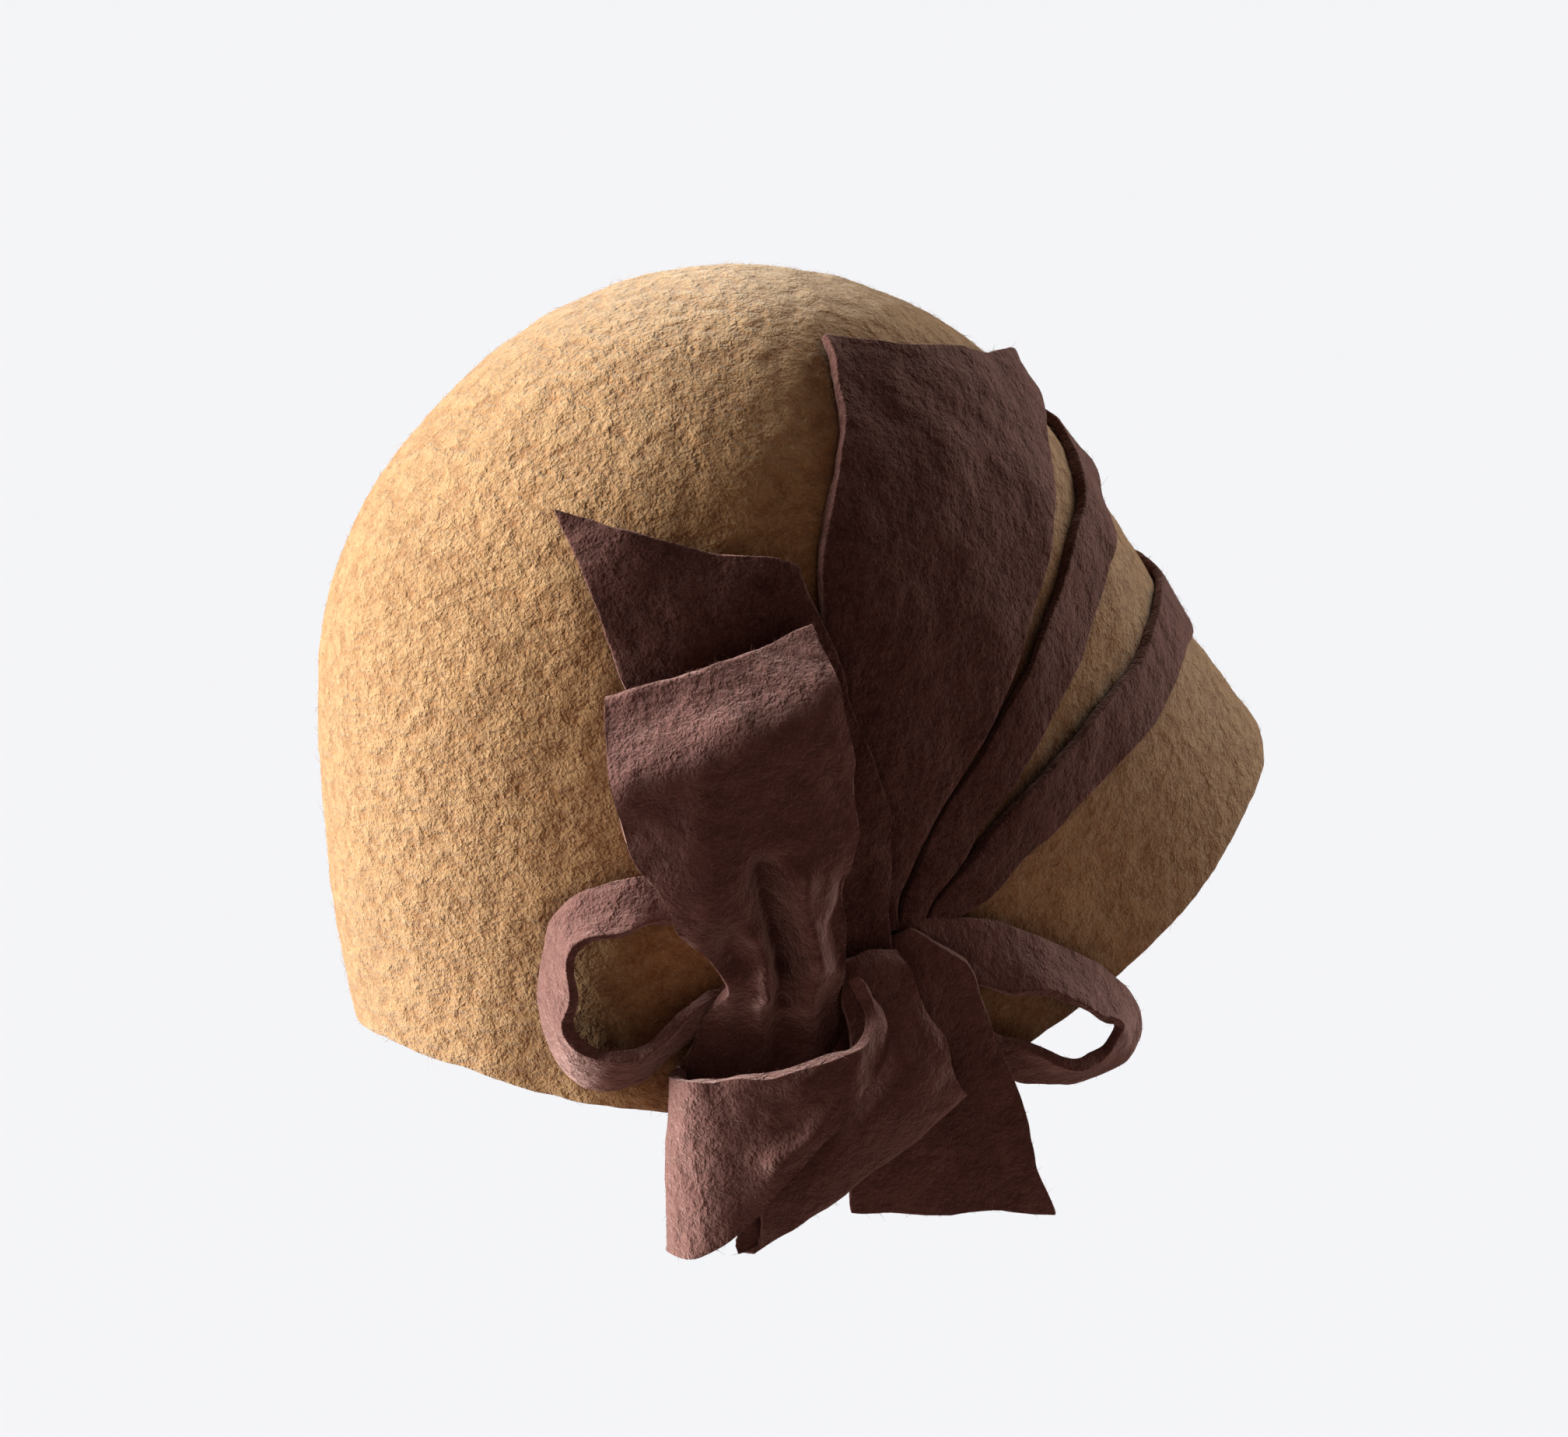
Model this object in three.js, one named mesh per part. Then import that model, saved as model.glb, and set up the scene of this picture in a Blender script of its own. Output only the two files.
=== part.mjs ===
// A cloche hat of wet-moulded wool felt, with a loose bow of felt strips on the wearer's right side.
// Millimetres, +Z up. The wearer looks along -Y, the wearer's right hand is at -X.
// The origin is the middle of the head opening, level with the rim over the ears.
import * as THREE from "three";
import { mergeVertices } from "three/addons/utils/BufferGeometryUtils.js";

// Crown: the outside of one seamless shell
const crownDepth = 211; // top of the crown down to the rim over the ears
const frontDepth = 136; // top of the crown down to the front of the brim
const napeDepth = 196.5; // top of the crown down to the rim at the nape
const frontReach = 181; // origin to the front of the brim
const backReach = 101.5; // origin to the fullest part of the back
const sideReach = 85.5; // origin to the fullest part of each side
const crownFelt = 3; // wall of the shell
const widestPlace = 0.45; // where the crown is widest, between the ears and its own middle
const frontSweep = 1.4; // how the rim climbs from the ears to the front: more is flatter at the ears

// Bow: strips cut from flat felt
const stripFelt = 3; // thickness of every strip
const feltGap = 0.4; // air left between one layer of felt and the next
const ribbonWidth = 58; // wide ribbon: loops and tails
const sashWidth = 82; // broad end that lies up the side of the crown
const bandWidth = 17; // two narrow bands round the front
const thinWidth = 18; // two thin loops
const bowStand = 28; // how far the fullest loop stands off the crown
const foldDepth = 3.5; // height of the gathers near the knot

const feltColours = { camel: "#b98d55", plum: "#4a2e2c" };
const felt = { roughness: 0.95, metalness: 0 };

// Sections of the crown from its top to its rim. down is a share of the depth there, front of
// frontReach, back of backReach and side of sideReach. A back below nought lies forward of the ears.
const crownSections = [
  { down: 0, front: 0.08, back: -0.14, side: 0 },
  { down: 0.012, front: 0.18, back: 0.04, side: 0.26 },
  { down: 0.045, front: 0.28, back: 0.26, side: 0.47 },
  { down: 0.105, front: 0.39, back: 0.48, side: 0.65 },
  { down: 0.195, front: 0.485, back: 0.685, side: 0.82 },
  { down: 0.31, front: 0.565, back: 0.87, side: 0.935 },
  { down: 0.44, front: 0.65, back: 0.98, side: 0.99 },
  { down: 0.58, front: 0.732, back: 1, side: 1 },
  { down: 0.72, front: 0.815, back: 0.995, side: 1 },
  { down: 0.86, front: 0.9, back: 0.965, side: 0.995 },
  { down: 1, front: 1, back: 0.915, side: 0.99 },
];
const domeShare = 0.2; // share of the depth over which the sections find their widest place

// Rows of the bow's pieces, from the knot outwards, or round a loop and back to the knot.
// turn: degrees from the front towards the wearer's right. fall: share of the way from the top of the
// crown to the rim, carried on past 1 below it. lift: stand-off, as a share of bowStand. lean: degrees
// of the way across, 0 towards the back and 90 down. tip: degrees that the way across rises off the
// crown. width: share of the piece's width. cup: how far the middle stands proud, as a share of the
// width. fold: height of the gathers, as a share of foldDepth.
const sashRows = [
  { turn: 92.2, fall: 0.838, lift: 0.005, lean: 178, tip: 0, width: 0.1 },
  { turn: 91.6, fall: 0.785, lift: 0.005, lean: 170, tip: 0, width: 0.18 },
  { turn: 90.3, fall: 0.73, lift: 0.005, lean: 166, tip: 0, width: 0.43 },
  { turn: 85.8, fall: 0.655, lift: 0.005, lean: 163, tip: 0, width: 0.7 },
  { turn: 79.5, fall: 0.58, lift: 0.005, lean: 162, tip: 0, width: 0.88 },
  { turn: 71, fall: 0.5, lift: 0.005, lean: 161, tip: 0, width: 0.98 },
  { turn: 61.5, fall: 0.425, lift: 0.005, lean: 160, tip: 0, width: 1 },
  { turn: 57.5, fall: 0.38, lift: 0.02, lean: 159, tip: 0, width: 1 },
  { turn: 54, fall: 0.325, lift: 0.06, lean: 158, tip: 1, width: 0.97 },
];
const upperBandRows = [
  { turn: 87.3, fall: 0.825, lift: 0.01, lean: 160, tip: 0, width: 0.44 },
  { turn: 82.7, fall: 0.778, lift: 0.01, lean: 148, tip: 0, width: 0.64 },
  { turn: 73.2, fall: 0.729, lift: 0.01, lean: 136, tip: 0, width: 0.94 },
  { turn: 58.5, fall: 0.665, lift: 0.01, lean: 126, tip: 0, width: 1.03 },
  { turn: 42, fall: 0.615, lift: 0.005, lean: 114, tip: 0, width: 1 },
  { turn: 28, fall: 0.575, lift: 0.005, lean: 103, tip: 0, width: 1 },
  { turn: 14, fall: 0.55, lift: 0.005, lean: 95, tip: 0, width: 1 },
  { turn: 0, fall: 0.54, lift: 0.005, lean: 90, tip: 0, width: 1 },
];
const lowerBandRows = [
  { turn: 83.6, fall: 0.833, lift: 0.01, lean: 156, tip: 0, width: 0.42 },
  { turn: 78.7, fall: 0.817, lift: 0.01, lean: 140, tip: 0, width: 0.96 },
  { turn: 70.6, fall: 0.795, lift: 0.01, lean: 124, tip: 0, width: 1.12 },
  { turn: 57.5, fall: 0.782, lift: 0.005, lean: 110, tip: 0, width: 1 },
  { turn: 42.5, fall: 0.778, lift: 0.005, lean: 102, tip: 0, width: 1 },
  { turn: 28, fall: 0.778, lift: 0.005, lean: 96, tip: 0, width: 1 },
  { turn: 14, fall: 0.782, lift: 0.005, lean: 92, tip: 0, width: 1 },
  { turn: 0, fall: 0.785, lift: 0.005, lean: 90, tip: 0, width: 1 },
];
const upperTailRows = [
  { turn: 95.5, fall: 0.845, lift: 0, lean: 174, tip: 0, width: 0.22 },
  { turn: 99, fall: 0.77, lift: 0, lean: 178, tip: 0, width: 0.58 },
  { turn: 103.5, fall: 0.7, lift: 0, lean: 173, tip: 0, width: 0.89 },
  { turn: 108.5, fall: 0.63, lift: 0, lean: 172, tip: 0, width: 1 },
  { turn: 114, fall: 0.55, lift: 0.03, lean: 174, tip: -1, width: 0.95 },
  { turn: 119, fall: 0.49, lift: 0.06, lean: 172, tip: -2, width: 1 },
];
const lowerTailRows = [
  { turn: 90.5, fall: 0.852, lift: 0.04, lean: 211, tip: 21, width: 0.14 },
  { turn: 88.2, fall: 0.875, lift: 0.24, lean: 190, tip: 15, width: 0.39, fold: 0.3 },
  { turn: 88.5, fall: 0.926, lift: 0.24, lean: 180, tip: 11, width: 0.55, fold: 0.3 },
  { turn: 89, fall: 0.98, lift: 0.24, lean: 175, tip: 13, width: 0.69 },
  { turn: 89.5, fall: 1.03, lift: 0.28, lean: 173, tip: 18, width: 0.81 },
  { turn: 89.5, fall: 1.087, lift: 0.29, lean: 168, tip: 20, width: 0.95 },
];
const upperLoopRows = [
  { turn: 105.5, fall: 0.842, lift: 0, lean: 186, tip: 0, width: 0.29 },
  { turn: 106.7, fall: 0.745, lift: 0, lean: 196, tip: 0, width: 0.65 },
  { turn: 109.5, fall: 0.662, lift: 0.03, lean: 197, tip: 0, width: 0.84 },
  { turn: 113, fall: 0.604, lift: 0.1, lean: 199, tip: 0, width: 0.85 },
  { turn: 114.4, fall: 0.591, lift: 0.3, lean: 200, tip: 0, width: 0.84 },
  { turn: 113.8, fall: 0.61, lift: 0.49, lean: 200, tip: 0, width: 0.84 },
  { turn: 112.8, fall: 0.65, lift: 0.58, lean: 200, tip: -2, width: 0.91, cup: 0.02 },
  { turn: 111.2, fall: 0.707, lift: 0.61, lean: 201, tip: -2, width: 0.88, cup: 0.04 },
  { turn: 110.5, fall: 0.753, lift: 0.57, lean: 197, tip: -2, width: 0.76, cup: 0.04, fold: 0.4 },
  { turn: 109.3, fall: 0.805, lift: 0.46, lean: 194, tip: 0, width: 0.58, fold: 0.6 },
  { turn: 108.5, fall: 0.843, lift: 0.33, lean: 192, tip: 0, width: 0.42, fold: 0.5 },
];
const cornerLoopRows = [
  { turn: 108.4, fall: 0.85, lift: 0.54, lean: 191, tip: 0, width: 0.42, fold: 0.5 },
  { turn: 109.2, fall: 0.905, lift: 0.15, lean: 171, tip: 0, width: 0.57, fold: 0.1 },
  { turn: 114.2, fall: 0.965, lift: 0.08, lean: 132, tip: -5, width: 0.52 },
  { turn: 121.5, fall: 1.024, lift: 0.04, lean: 88, tip: 2, width: 0.73 },
  { turn: 124.6, fall: 1.03, lift: 0.31, lean: 82, tip: 0, width: 0.83 },
  { turn: 122.7, fall: 1.019, lift: 0.64, lean: 84, tip: 0, width: 0.81 },
  { turn: 117.5, fall: 1.005, lift: 0.79, lean: 85, tip: 0, width: 0.73, cup: 0.01 },
  { turn: 110.3, fall: 0.967, lift: 0.89, lean: 94, tip: 0, width: 0.42, cup: 0.01 },
  { turn: 104, fall: 0.933, lift: 0.93, lean: 104, tip: 0, width: 0.2 },
  { turn: 99.9, fall: 0.909, lift: 0.84, lean: 112, tip: -10, width: 0.14 },
  { turn: 98.4, fall: 0.88, lift: 0.74, lean: 128, tip: -15, width: 0.11 },
  { turn: 100.4, fall: 0.858, lift: 0.66, lean: 146, tip: -10, width: 0.1 },
];
const sideLoopRows = [
  { turn: 96.4, fall: 0.843, lift: 0.35, lean: 184, tip: -4, width: 0.23 },
  { turn: 95.9, fall: 0.873, lift: 0.46, lean: 194, tip: 0, width: 0.3 },
  { turn: 95.4, fall: 0.927, lift: 0.62, lean: 197, tip: -4, width: 0.42 },
  { turn: 98.5, fall: 0.967, lift: 0.66, lean: 200, tip: -3, width: 0.66 },
  { turn: 101.5, fall: 1.005, lift: 0.6, lean: 207, tip: -1, width: 0.96 },
  { turn: 101.6, fall: 1.037, lift: 0.46, lean: 215, tip: 1, width: 1.13 },
  { turn: 103.8, fall: 1.036, lift: 0.36, lean: 214, tip: 1, width: 1.23 },
  { turn: 101, fall: 0.974, lift: 0.38, lean: 216, tip: 2, width: 0.98 },
  { turn: 93.6, fall: 0.875, lift: 0.31, lean: 207, tip: 14, width: 0.19 },
];
const frontThinLoopRows = [
  { turn: 87.6, fall: 0.83, lift: 0, lean: 92, tip: 12, width: 0.5 },
  { turn: 82, fall: 0.843, lift: 0, lean: 72, tip: 20, width: 0.9 },
  { turn: 75.5, fall: 0.878, lift: 0.02, lean: 46, tip: 32, width: 1 },
  { turn: 70.5, fall: 0.924, lift: 0.05, lean: 26, tip: 38, width: 1 },
  { turn: 66.4, fall: 0.984, lift: 0.08, lean: 0, tip: 36, width: 1 },
  { turn: 65, fall: 1.016, lift: 0.1, lean: -18, tip: 32, width: 1.05 },
  { turn: 65.5, fall: 1.04, lift: 0.1, lean: -28, tip: 28, width: 1.1 },
  { turn: 67.8, fall: 1.057, lift: 0.08, lean: -37, tip: 27, width: 1.2 },
  { turn: 72, fall: 1.051, lift: 0.06, lean: -48, tip: 28, width: 1.15 },
  { turn: 76.3, fall: 1.03, lift: 0.03, lean: -62, tip: 24, width: 1.05 },
  { turn: 80.7, fall: 1, lift: 0.01, lean: -74, tip: 16, width: 0.95 },
  { turn: 84.7, fall: 0.922, lift: 0, lean: -78, tip: 12, width: 0.6 },
];
const backThinLoopRows = [
  { turn: 120, fall: 0.778, lift: 0, lean: 92, tip: 36, width: 0.7 },
  { turn: 126, fall: 0.782, lift: 0.01, lean: 100, tip: 44, width: 0.75 },
  { turn: 132, fall: 0.8, lift: 0.02, lean: 132, tip: 52, width: 0.8 },
  { turn: 136.7, fall: 0.83, lift: 0.02, lean: 163, tip: 54, width: 0.85 },
  { turn: 138.3, fall: 0.868, lift: 0.02, lean: 194, tip: 56, width: 0.85 },
  { turn: 139.5, fall: 0.922, lift: 0.02, lean: 216, tip: 50, width: 0.9 },
  { turn: 138.8, fall: 0.953, lift: 0.02, lean: 227, tip: 44, width: 1 },
  { turn: 135.8, fall: 0.973, lift: 0.02, lean: 234, tip: 38, width: 1.05 },
  { turn: 131.5, fall: 0.973, lift: 0.02, lean: 242, tip: 38, width: 1.05 },
  { turn: 126.7, fall: 0.958, lift: 0.02, lean: 254, tip: 41, width: 0.95 },
  { turn: 122.6, fall: 0.934, lift: 0.01, lean: 262, tip: 30, width: 0.75 },
  { turn: 120.3, fall: 0.917, lift: 0, lean: 262, tip: 10, width: 0.5 },
  { turn: 118.6, fall: 0.905, lift: 0, lean: 262, tip: 0, width: 0.4 },
];

const degrees = Math.PI / 180;

// The value of one column between rows, on a smooth curve through the rows
function columnAt(rows, column, place) {
  const last = rows.length - 1;
  const inside = Math.min(Math.max(place, 0), last);
  const row = Math.min(Math.floor(inside), last - 1);
  const past = inside - row;
  const value = (index) => rows[index][column] ?? 0;
  const here = value(row);
  const next = value(row + 1);
  const before = row > 0 ? value(row - 1) : 2 * here - next;
  const after = row + 2 <= last ? value(row + 2) : 2 * next - here;
  const bend = 2 * before - 5 * here + 4 * next - after + past * (3 * (here - next) + after - before);
  return here + 0.5 * past * (next - before + past * bend);
}

// A point on the outside of the crown
function shellPoint(turn, fall) {
  const place = fall * (crownSections.length - 1);
  const down = columnAt(crownSections, "down", place);
  const front = columnAt(crownSections, "front", place) * frontReach;
  const back = columnAt(crownSections, "back", place) * backReach;
  const side = columnAt(crownSections, "side", place) * sideReach;
  const ahead = Math.cos(turn * degrees);
  const middle = (front - back) / 2;
  const widest = middle * (1 - (1 - widestPlace) * Math.min(1, down / domeShare));
  const along = widest + ahead * (ahead > 0 ? front - widest : back + widest);
  const rise = (crownDepth - frontDepth) * Math.max(ahead, 0) ** frontSweep;
  const napeRise = (crownDepth - napeDepth) * Math.max(-ahead, 0) ** 2;
  const drop = (crownDepth - rise - napeRise) * down;
  return new THREE.Vector3(-side * Math.sin(turn * degrees), -along, crownDepth - drop);
}

// The same, carried on straight below the rim, where the bow hangs free
function drapePoint(turn, fall) {
  if (fall <= 1) return shellPoint(turn, fall);
  const last = 0.02;
  const rim = shellPoint(turn, 1);
  const slope = rim.clone().sub(shellPoint(turn, 1 - last));
  return rim.addScaledVector(slope, (fall - 1) / last);
}

// The outward normal of the crown, with how far a degree of turn and a whole fall reach there
function drapeFrame(turn, fall) {
  const turnStep = 0.5;
  const fallStep = 0.004;
  const alongTurn = drapePoint(turn + turnStep, fall).sub(drapePoint(turn - turnStep, fall));
  const alongFall = drapePoint(turn, fall + fallStep).sub(drapePoint(turn, fall - fallStep));
  return {
    perDegree: alongTurn.length() / (2 * turnStep),
    perFall: alongFall.length() / (2 * fallStep),
    normal: alongTurn.clone().cross(alongFall).normalize(),
    towardsBack: alongTurn.normalize(),
    downwards: alongFall.normalize(),
  };
}

// One closed body from its points and its faces of three or four corners, faces pointing out
function closedGeometry(points, faces) {
  const triangles = faces.flatMap((face) =>
    face.length === 3 ? [face] : [[face[0], face[1], face[2]], [face[0], face[2], face[3]]],
  );
  let volume = 0;
  for (const [a, b, c] of triangles) {
    volume += points[a].dot(points[b].clone().cross(points[c]));
  }
  const index = triangles.flatMap((triangle) => (volume > 0 ? triangle : triangle.toReversed()));
  const geometry = new THREE.BufferGeometry();
  geometry.setAttribute("position", new THREE.Float32BufferAttribute(points.flatMap((p) => p.toArray()), 3));
  geometry.setIndex(index);
  const merged = mergeVertices(geometry);
  merged.computeVertexNormals();
  return merged;
}

// The shell: its outside and inside skins, joined at the rim
function crownGeometry() {
  const around = 48;
  const levels = 15;
  const points = [];
  const addPoint = (point) => points.push(point) - 1;
  const skin = (inset) => {
    const top = shellPoint(0, 0);
    top.x = 0;
    top.z -= inset;
    const rings = [];
    for (let level = 1; level <= levels; level += 1) {
      const ring = [];
      for (let step = 0; step < around; step += 1) {
        const turn = (360 * step) / around;
        const fall = level / levels;
        const reach = Math.min(fall, 0.996);
        ring.push(addPoint(shellPoint(turn, fall).addScaledVector(drapeFrame(turn, reach).normal, -inset)));
      }
      rings.push(ring);
    }
    return { top: addPoint(top), rings };
  };
  const outside = skin(0);
  const inside = skin(crownFelt);
  const faces = [];
  for (let step = 0; step < around; step += 1) {
    const next = (step + 1) % around;
    faces.push([outside.top, outside.rings[0][step], outside.rings[0][next]]);
    faces.push([inside.top, inside.rings[0][next], inside.rings[0][step]]);
    for (let level = 1; level < levels; level += 1) {
      const [above, below] = [outside.rings[level - 1], outside.rings[level]];
      const [aboveIn, belowIn] = [inside.rings[level - 1], inside.rings[level]];
      faces.push([above[step], below[step], below[next], above[next]]);
      faces.push([aboveIn[next], belowIn[next], belowIn[step], aboveIn[step]]);
    }
    const [rim, rimIn] = [outside.rings[levels - 1], inside.rings[levels - 1]];
    faces.push([rim[step], rimIn[step], rimIn[next], rim[next]]);
  }
  return closedGeometry(points, faces);
}

// The middle surface of a strip: place runs along its rows, across from -0.5 to 0.5
function stripPoint(rows, shape, place, across) {
  const row = (column) => columnAt(rows, column, place);
  const turn = row("turn");
  const fall = row("fall");
  const width = row("width") * shape.width;
  const distance = (across - (shape.hold ?? 0)) * width;
  const flat = distance * Math.cos(row("tip") * degrees);
  const lean = row("lean") * degrees;
  const { perDegree, perFall, normal, towardsBack, downwards } = drapeFrame(turn, fall);
  const seat = feltGap + stripFelt / 2 + (shape.layer ?? 0) * (stripFelt + feltGap);
  const bulge = row("cup") * width * (1 - 4 * across ** 2);
  const gather = row("fold") * foldDepth * Math.sin(2 * Math.PI * (shape.folds ?? 0) * (across + 0.5));
  const standOff = seat + row("lift") * bowStand + distance * Math.sin(row("tip") * degrees) + bulge + gather;
  if (shape.straight) {
    const middle = drapePoint(turn, fall).addScaledVector(normal, standOff);
    middle.addScaledVector(towardsBack, flat * Math.cos(lean));
    return middle.addScaledVector(downwards, flat * Math.sin(lean));
  }
  const turnHere = turn + (flat * Math.cos(lean)) / perDegree;
  const fallHere = fall + (flat * Math.sin(lean)) / perFall;
  return drapePoint(turnHere, fallHere).addScaledVector(drapeFrame(turnHere, fallHere).normal, standOff);
}

// A strip of felt: two skins on either side of its middle surface, joined round the cut edge
function stripGeometry(rows, shape) {
  const steps = (rows.length - 1) * (shape.stepsPerRow ?? 3);
  const cells = shape.cells ?? 6;
  const middle = [];
  for (let step = 0; step <= steps; step += 1) {
    const place = ((rows.length - 1) * step) / steps;
    const line = [];
    for (let cell = 0; cell <= cells; cell += 1) {
      line.push(stripPoint(rows, shape, place, cell / cells - 0.5));
    }
    middle.push(line);
  }
  const normalAt = (step, cell) => {
    const along = middle[Math.min(step + 1, steps)][cell].clone().sub(middle[Math.max(step - 1, 0)][cell]);
    const over = middle[step][Math.min(cell + 1, cells)].clone().sub(middle[step][Math.max(cell - 1, 0)]);
    return along.cross(over).normalize();
  };
  const points = [];
  const skins = [0.5, -0.5].map((share) =>
    middle.map((line, step) =>
      line.map((point, cell) => {
        const shifted = point.clone().addScaledVector(normalAt(step, cell), share * stripFelt);
        return points.push(shifted) - 1;
      }),
    ),
  );
  const [outer, inner] = skins;
  const faces = [];
  for (let step = 0; step < steps; step += 1) {
    const further = step + 1;
    for (let cell = 0; cell < cells; cell += 1) {
      const beside = cell + 1;
      faces.push([outer[step][cell], outer[further][cell], outer[further][beside], outer[step][beside]]);
      faces.push([inner[step][beside], inner[further][beside], inner[further][cell], inner[step][cell]]);
    }
    faces.push([outer[further][0], outer[step][0], inner[step][0], inner[further][0]]);
    faces.push([outer[step][cells], outer[further][cells], inner[further][cells], inner[step][cells]]);
  }
  for (let cell = 0; cell < cells; cell += 1) {
    faces.push([outer[0][cell], outer[0][cell + 1], inner[0][cell + 1], inner[0][cell]]);
    faces.push([outer[steps][cell + 1], outer[steps][cell], inner[steps][cell], inner[steps][cell + 1]]);
  }
  return closedGeometry(points, faces);
}

// A band lies round the front and comes down the other side as it went up
function roundTheFront(rows) {
  const otherSide = rows.slice(0, -1).toReversed();
  return [...rows, ...otherSide.map((row) => ({ ...row, turn: -row.turn, lean: 180 - row.lean }))];
}

const camelFelt = new THREE.MeshStandardMaterial({ color: feltColours.camel, ...felt });
const plumFelt = new THREE.MeshStandardMaterial({ color: feltColours.plum, ...felt });
const ribbon = { width: ribbonWidth };
const bandShape = { width: bandWidth, cells: 2, stepsPerRow: 2 };
const thinShape = { width: thinWidth, cells: 3, hold: -0.5 };

const bowPieces = {
  sash: stripGeometry(sashRows, { width: sashWidth, cells: 8, stepsPerRow: 2 }),
  upper_band: stripGeometry(roundTheFront(upperBandRows), bandShape),
  lower_band: stripGeometry(roundTheFront(lowerBandRows), bandShape),
  upper_tail: stripGeometry(upperTailRows, { ...ribbon, layer: 1 }),
  lower_tail: stripGeometry(lowerTailRows, { ...ribbon, folds: 1, straight: true }),
  upper_loop: stripGeometry(upperLoopRows, { ...ribbon, layer: 2, folds: 1.5, cells: 8 }),
  corner_loop: stripGeometry(cornerLoopRows, { ...ribbon, folds: 1.5, cells: 8 }),
  side_loop: stripGeometry(sideLoopRows, ribbon),
  front_thin_loop: stripGeometry(frontThinLoopRows, thinShape),
  back_thin_loop: stripGeometry(backThinLoopRows, thinShape),
};

const hat = new THREE.Group();
const crown = new THREE.Mesh(crownGeometry(), camelFelt);
crown.name = "crown_body";
hat.add(crown);

const bow = new THREE.Group();
for (const [name, geometry] of Object.entries(bowPieces)) {
  const piece = new THREE.Mesh(geometry, plumFelt.clone());
  piece.name = name;
  bow.add(piece);
}
hat.add(bow);

export default hat;
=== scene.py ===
"""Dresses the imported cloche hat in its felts: a camel crown and a loose plum-brown bow."""
import math
import random

import bmesh
import bpy
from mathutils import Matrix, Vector, noise


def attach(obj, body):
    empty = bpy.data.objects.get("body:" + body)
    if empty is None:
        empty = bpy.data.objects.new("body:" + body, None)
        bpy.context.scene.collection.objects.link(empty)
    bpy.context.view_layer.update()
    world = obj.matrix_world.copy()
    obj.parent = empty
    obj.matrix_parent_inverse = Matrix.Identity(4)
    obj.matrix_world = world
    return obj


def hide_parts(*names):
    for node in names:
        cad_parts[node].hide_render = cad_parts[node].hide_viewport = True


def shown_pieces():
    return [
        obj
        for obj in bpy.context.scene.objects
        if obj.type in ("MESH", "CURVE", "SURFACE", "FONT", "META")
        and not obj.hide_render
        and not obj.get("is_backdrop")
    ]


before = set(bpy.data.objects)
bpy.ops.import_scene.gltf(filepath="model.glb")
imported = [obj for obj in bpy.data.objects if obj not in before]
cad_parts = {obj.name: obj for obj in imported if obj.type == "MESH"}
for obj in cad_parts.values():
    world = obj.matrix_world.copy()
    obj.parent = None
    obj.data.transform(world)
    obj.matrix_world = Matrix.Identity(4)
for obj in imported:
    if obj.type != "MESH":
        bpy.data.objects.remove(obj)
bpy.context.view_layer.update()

bl_info = {
    "name": "Felt Cloche Hat",
    "version": (1, 0, 0),
    "blender": (4, 5, 0),
    "location": "3D View > Sidebar > Cloche Hat",
    "description": "Builds a wool felt cloche hat with a loose felt bow, and the stage it is shown on",
    "category": "Object",
}


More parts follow.
